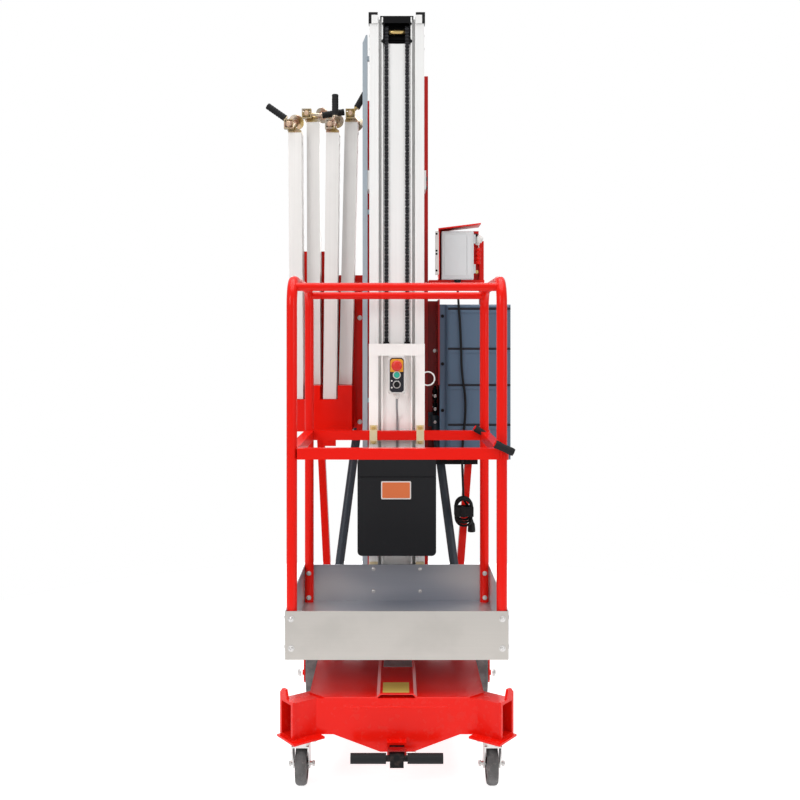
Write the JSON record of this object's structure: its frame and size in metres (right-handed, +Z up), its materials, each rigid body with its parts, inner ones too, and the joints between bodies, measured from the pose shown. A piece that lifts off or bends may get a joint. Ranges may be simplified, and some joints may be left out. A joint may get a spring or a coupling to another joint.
{
  "type": "vertical mast lift",
  "caption": "Push-around vertical mast lift: red base on wheels, telescopic mast with chains, caged work platform, stowed outriggers and a side power unit.",
  "frame": {"origin": "on the floor, under the middle of the machine's width, about the middle of the base's length", "axes": "+Z up, +X to the right as seen from the platform end, -Y towards the platform end"},
  "size_m": [0.9343, 1.207, 2.538],
  "materials": {
    "black_paint": "satin",
    "black_plastic": "satin",
    "bright_aluminium": "satin",
    "cable_grey": "matte",
    "cable_rubber": "matte",
    "chain_black": "satin",
    "conduit_plastic": "satin",
    "cover_plastic": "satin",
    "dark_red_paint": "gloss",
    "grey_plastic": "satin",
    "grip_rubber": "matte",
    "iron": "rough",
    "light_grey_paint": "satin",
    "mast_aluminium": "satin",
    "pack_black": "satin",
    "red_paint": "gloss",
    "slate_paint": "satin",
    "stainless": "brushed",
    "tyre_rubber": "matte",
    "wheel_grey": "satin",
    "white_paint": "satin",
    "zinc_plate": "satin"
  },
  "bodies": {
    "chassis": {"base_frame": "red_paint", "base_deck": "red_paint", "ballast_block": "iron", "caster_plates": "zinc_plate", "outrigger_sockets": "red_paint", "wheel_brackets": "red_paint", "rear_column": "dark_red_paint", "guide_straps": "white_paint", "mast_braces": "slate_paint", "outrigger_rack": "red_paint", "power_bracket": "dark_red_paint", "power_cover": "cover_plastic", "power_pack": "pack_black", "control_box": "light_grey_paint", "hanging_lead": "cable_rubber", "lead_hank": "cable_rubber", "mast_section_1": "mast_aluminium", "outrigger_3_beam": "bright_aluminium", "outrigger_3_jack": "zinc_plate"},
    "control_door": {"control_door": "light_grey_paint"},
    "main_wheel_left": {"main_tyre_left": "tyre_rubber", "main_rim_left": "wheel_grey"},
    "main_wheel_right": {"main_tyre_right": "tyre_rubber", "main_rim_right": "wheel_grey"},
    "caster_fork_left": {"caster_fork_left": "zinc_plate"},
    "caster_fork_right": {"caster_fork_right": "zinc_plate"},
    "caster_wheel_left": {"caster_wheel_left": "tyre_rubber"},
    "caster_wheel_right": {"caster_wheel_right": "tyre_rubber"},
    "towing_handle": {"drawbar": "black_paint", "handle_grips": "grip_rubber"},
    "mast_2": {"mast_section_2": "mast_aluminium"},
    "mast_3": {"mast_section_3": "mast_aluminium"},
    "mast_4": {"mast_section_4": "mast_aluminium"},
    "mast_5": {"mast_section_5": "mast_aluminium", "chain_head": "black_paint", "corner_caps": "black_plastic", "lift_chains": "chain_black", "hose_conduit": "conduit_plastic"},
    "platform": {"carriage": "mast_aluminium", "carriage_brackets": "zinc_plate", "harness_ring": "white_paint", "control_station": "grey_plastic", "station_cable": "cable_grey", "cage_left": "red_paint", "cage_right": "red_paint", "cage_rails": "red_paint", "platform_floor": "stainless", "toe_board_front": "stainless", "toe_boards_inner": "stainless", "toolbox": "black_plastic"},
    "toolbox_lid": {"toolbox_lid": "black_plastic"},
    "entry_bar": {"entry_bar": "red_paint"},
    "outrigger_1": {"outrigger_1_beam": "bright_aluminium", "outrigger_1_jack": "zinc_plate"},
    "outrigger_2": {"outrigger_2_beam": "bright_aluminium", "outrigger_2_jack": "zinc_plate"},
    "outrigger_4": {"outrigger_4_beam": "bright_aluminium", "outrigger_4_jack": "zinc_plate"}
  },
  "joints": [
    {"name": "mast_2_lift", "type": "slide", "parent": "chassis", "child": "mast_2", "axis": [0, 0, 1], "range_m": [0, 1.85]},
    {"name": "mast_3_lift", "type": "slide", "parent": "mast_2", "child": "mast_3", "axis": [0, 0, 1], "range_m": [0, 1.85]},
    {"name": "mast_4_lift", "type": "slide", "parent": "mast_3", "child": "mast_4", "axis": [0, 0, 1], "range_m": [0, 1.85]},
    {"name": "mast_5_lift", "type": "slide", "parent": "mast_4", "child": "mast_5", "axis": [0, 0, 1], "range_m": [0, 1.85]},
    {"name": "platform_lift", "type": "slide", "parent": "mast_5", "child": "platform", "axis": [0, 0, 1], "range_m": [0, 1.08]},
    {"name": "main_wheel_left_spin", "type": "hinge", "parent": "chassis", "child": "main_wheel_left", "pos_m": [-0.3145, 0.29, 0.08], "axis": [1, 0, 0], "continuous": true},
    {"name": "caster_left_swivel", "type": "hinge", "parent": "chassis", "child": "caster_fork_left", "pos_m": [-0.284, -0.519, 0.15], "axis": [0, 0, 1], "continuous": true},
    {"name": "caster_left_spin", "type": "hinge", "parent": "caster_fork_left", "child": "caster_wheel_left", "pos_m": [-0.284, -0.482, 0.0625], "axis": [1, 0, 0], "continuous": true},
    {"name": "main_wheel_right_spin", "type": "hinge", "parent": "chassis", "child": "main_wheel_right", "pos_m": [0.3145, 0.29, 0.08], "axis": [1, 0, 0], "continuous": true},
    {"name": "caster_right_swivel", "type": "hinge", "parent": "chassis", "child": "caster_fork_right", "pos_m": [0.284, -0.519, 0.15], "axis": [0, 0, 1], "continuous": true},
    {"name": "caster_right_spin", "type": "hinge", "parent": "caster_fork_right", "child": "caster_wheel_right", "pos_m": [0.284, -0.482, 0.0625], "axis": [1, 0, 0], "continuous": true},
    {"name": "towing_handle_pull", "type": "slide", "parent": "chassis", "child": "towing_handle", "axis": [0, -1, 0], "range_m": [0, 0.25]},
    {"name": "control_door_swing", "type": "hinge", "parent": "chassis", "child": "control_door", "pos_m": [0.3, 0.379, 1.6585], "axis": [0, 0, 1], "range_deg": [0, 110]},
    {"name": "toolbox_lid_swing", "type": "hinge", "parent": "platform", "child": "toolbox_lid", "pos_m": [0, 0.1345, 0.918], "axis": [-1, 0, 0], "range_deg": [0, 55]},
    {"name": "entry_bar_lift", "type": "slide", "parent": "platform", "child": "entry_bar", "axis": [0, 0, 1], "range_m": [0, 0.4]},
    {"name": "outrigger_1_lift", "type": "slide", "parent": "chassis", "child": "outrigger_1", "axis": [0, 0, 1], "range_m": [0, 0.05]},
    {"name": "outrigger_2_lift", "type": "slide", "parent": "chassis", "child": "outrigger_2", "axis": [0, 0, 1], "range_m": [0, 0.05]},
    {"name": "outrigger_4_lift", "type": "slide", "parent": "chassis", "child": "outrigger_4", "axis": [0, 0, 1], "range_m": [0, 0.05]}
  ],
  "couplings": [
    {"joint": "mast_3_lift", "follows": "mast_2_lift", "ratio": 1},
    {"joint": "mast_4_lift", "follows": "mast_2_lift", "ratio": 1},
    {"joint": "mast_5_lift", "follows": "mast_2_lift", "ratio": 1},
    {"joint": "platform_lift", "follows": "mast_2_lift", "ratio": 0.5837}
  ]
}
